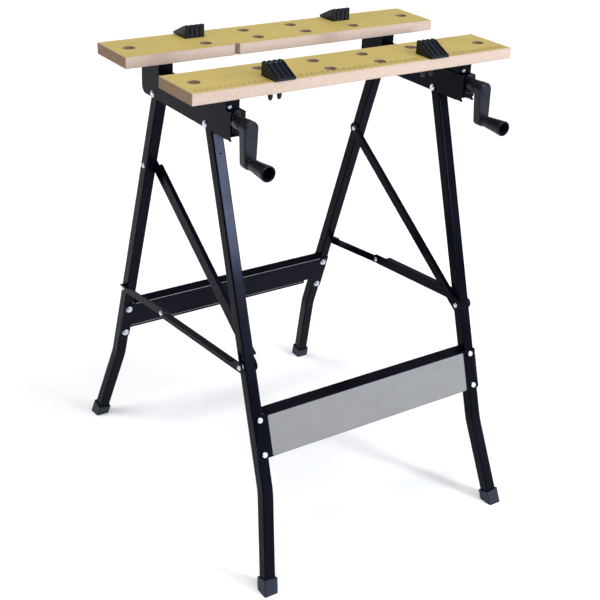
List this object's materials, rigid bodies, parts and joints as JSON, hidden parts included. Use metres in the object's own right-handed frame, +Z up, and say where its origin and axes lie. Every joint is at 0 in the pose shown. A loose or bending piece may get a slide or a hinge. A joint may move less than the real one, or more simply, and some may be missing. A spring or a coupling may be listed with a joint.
{
  "type": "folding clamping sawhorse",
  "caption": "Folding steel-legged clamping sawhorse with a two-jaw top, crank spindles, swivel pegs, folding side braces and struts.",
  "frame": {"origin": "on the floor under the middle of the bench, half way between the front and rear leg pivots", "axes": "+Z up, front (cranks) towards -Y, +X to the right seen from the front"},
  "size_m": [0.605, 0.6598, 0.8236],
  "materials": {
    "black_enamel_steel": "gloss",
    "zinc_steel": "satin",
    "printed_board": "satin",
    "black_plastic": "matte",
    "grey_label": "matte"
  },
  "bodies": {
    "front_frame": {"leg_front_left": "black_enamel_steel", "leg_front_right": "black_enamel_steel", "foot_front_left": "black_plastic", "foot_front_right": "black_plastic", "front_panel": "black_enamel_steel", "panel_label": "grey_label", "panel_bolts": "zinc_steel", "panel_nuts": "zinc_steel", "lower_pivot_bolts": "zinc_steel"},
    "top": {"arm_left": "black_enamel_steel", "arm_right": "black_enamel_steel", "rear_jaw": "printed_board", "arm_pivot_bolts": "zinc_steel", "spindle_bush_left": "black_plastic", "spindle_bush_right": "black_plastic"},
    "rear_frame": {"leg_rear_left": "black_enamel_steel", "leg_rear_right": "black_enamel_steel", "foot_rear_left": "black_plastic", "foot_rear_right": "black_plastic", "rear_crossbar": "black_enamel_steel", "crossbar_bolts": "zinc_steel", "crossbar_nuts": "zinc_steel", "leg_rivets": "zinc_steel"},
    "front_jaw_unit": {"front_jaw": "printed_board", "carriage_left": "black_enamel_steel", "carriage_right": "black_enamel_steel", "spindle_nut_left": "zinc_steel", "spindle_nut_right": "zinc_steel", "carriage_screws": "zinc_steel"},
    "strut_left_unit": {"strut_left": "black_enamel_steel", "strut_rivet_left": "zinc_steel"},
    "brace_front_left_unit": {"brace_front_left": "black_enamel_steel", "brace_rivet_left": "zinc_steel"},
    "brace_rear_left_unit": {"brace_rear_left": "black_enamel_steel", "brace_end_rivet_left": "zinc_steel"},
    "crank_left_unit": {"spindle_left": "zinc_steel", "crank_left": "black_plastic"},
    "crank_knob_left_unit": {"crank_knob_left": "black_plastic"},
    "peg_front_left_unit": {"peg_front_left": "black_plastic"},
    "peg_rear_left_unit": {"peg_rear_left": "black_plastic"},
    "strut_right_unit": {"strut_right": "black_enamel_steel", "strut_rivet_right": "zinc_steel"},
    "brace_front_right_unit": {"brace_front_right": "black_enamel_steel", "brace_rivet_right": "zinc_steel"},
    "brace_rear_right_unit": {"brace_rear_right": "black_enamel_steel", "brace_end_rivet_right": "zinc_steel"},
    "crank_right_unit": {"spindle_right": "zinc_steel", "crank_right": "black_plastic"},
    "crank_knob_right_unit": {"crank_knob_right": "black_plastic"},
    "peg_front_right_unit": {"peg_front_right": "black_plastic"},
    "peg_rear_right_unit": {"peg_rear_right": "black_plastic"}
  },
  "joints": [
    {"name": "fold", "type": "hinge", "parent": "front_frame", "child": "top", "pos_m": [0, -0.0845, 0.725], "axis": [1, 0, 0], "range_deg": [0, 45]},
    {"name": "rear_leg_fold", "type": "hinge", "parent": "top", "child": "rear_frame", "pos_m": [0, 0.0845, 0.725], "axis": [1, 0, 0], "range_deg": [-74.85, 0]},
    {"name": "strut_left_fold", "type": "hinge", "parent": "front_frame", "child": "strut_left_unit", "pos_m": [-0.211, -0.20123, 0.36022], "axis": [1, 0, 0], "range_deg": [0, 24.45]},
    {"name": "brace_front_left_fold", "type": "hinge", "parent": "front_frame", "child": "brace_front_left_unit", "pos_m": [-0.2359, -0.20123, 0.36022], "axis": [1, 0, 0], "range_deg": [0, 63.18]},
    {"name": "brace_rear_left_fold", "type": "hinge", "parent": "brace_front_left_unit", "child": "brace_rear_left_unit", "pos_m": [-0.2336, 0.0604, 0.3386], "axis": [1, 0, 0], "range_deg": [-142.92, 0]},
    {"name": "strut_right_fold", "type": "hinge", "parent": "front_frame", "child": "strut_right_unit", "pos_m": [0.211, -0.20123, 0.36022], "axis": [1, 0, 0], "range_deg": [0, 24.45]},
    {"name": "brace_front_right_fold", "type": "hinge", "parent": "front_frame", "child": "brace_front_right_unit", "pos_m": [0.2359, -0.20123, 0.36022], "axis": [1, 0, 0], "range_deg": [0, 63.18]},
    {"name": "brace_rear_right_fold", "type": "hinge", "parent": "brace_front_right_unit", "child": "brace_rear_right_unit", "pos_m": [0.2336, 0.0604, 0.3386], "axis": [1, 0, 0], "range_deg": [-142.92, 0]},
    {"name": "jaw_slide", "type": "slide", "parent": "top", "child": "front_jaw_unit", "axis": [0, 1, 0], "range_m": [0, 0.107]},
    {"name": "crank_left_turn", "type": "hinge", "parent": "top", "child": "crank_left_unit", "pos_m": [-0.224, -0.19, 0.748], "axis": [0, 1, 0], "range_deg": [0, 7704.5]},
    {"name": "crank_knob_left_spin", "type": "hinge", "parent": "crank_left_unit", "child": "crank_knob_left_unit", "pos_m": [-0.224, -0.222, 0.6965], "axis": [0, 1, 0], "continuous": true},
    {"name": "peg_front_left_swivel", "type": "hinge", "parent": "front_jaw_unit", "child": "peg_front_left_unit", "pos_m": [-0.147, -0.13825, 0.802], "axis": [0, 0, 1], "continuous": true},
    {"name": "peg_rear_left_swivel", "type": "hinge", "parent": "top", "child": "peg_rear_left_unit", "pos_m": [-0.147, 0.11675, 0.802], "axis": [0, 0, 1], "continuous": true},
    {"name": "crank_right_turn", "type": "hinge", "parent": "top", "child": "crank_right_unit", "pos_m": [0.224, -0.19, 0.748], "axis": [0, 1, 0], "range_deg": [0, 7704.5]},
    {"name": "crank_knob_right_spin", "type": "hinge", "parent": "crank_right_unit", "child": "crank_knob_right_unit", "pos_m": [0.22759, -0.222, 0.69663], "axis": [0, 1, 0], "continuous": true},
    {"name": "peg_front_right_swivel", "type": "hinge", "parent": "front_jaw_unit", "child": "peg_front_right_unit", "pos_m": [0.147, -0.13825, 0.802], "axis": [0, 0, 1], "continuous": true},
    {"name": "peg_rear_right_swivel", "type": "hinge", "parent": "top", "child": "peg_rear_right_unit", "pos_m": [0.147, 0.11675, 0.802], "axis": [0, 0, 1], "continuous": true}
  ],
  "couplings": [
    {"joint": "rear_leg_fold", "follows": "fold", "ratio": -1.6622},
    {"joint": "strut_left_fold", "follows": "fold", "ratio": 0.54216},
    {"joint": "brace_front_left_fold", "follows": "fold", "ratio": 1.4028},
    {"joint": "brace_rear_left_fold", "follows": "fold", "ratio": -3.175},
    {"joint": "strut_right_fold", "follows": "fold", "ratio": 0.54216},
    {"joint": "brace_front_right_fold", "follows": "fold", "ratio": 1.4028},
    {"joint": "brace_rear_right_fold", "follows": "fold", "ratio": -3.175},
    {"joint": "crank_left_turn", "follows": "jaw_slide", "rad_per_m": 1256.6},
    {"joint": "crank_right_turn", "follows": "jaw_slide", "rad_per_m": 1256.6}
  ]
}
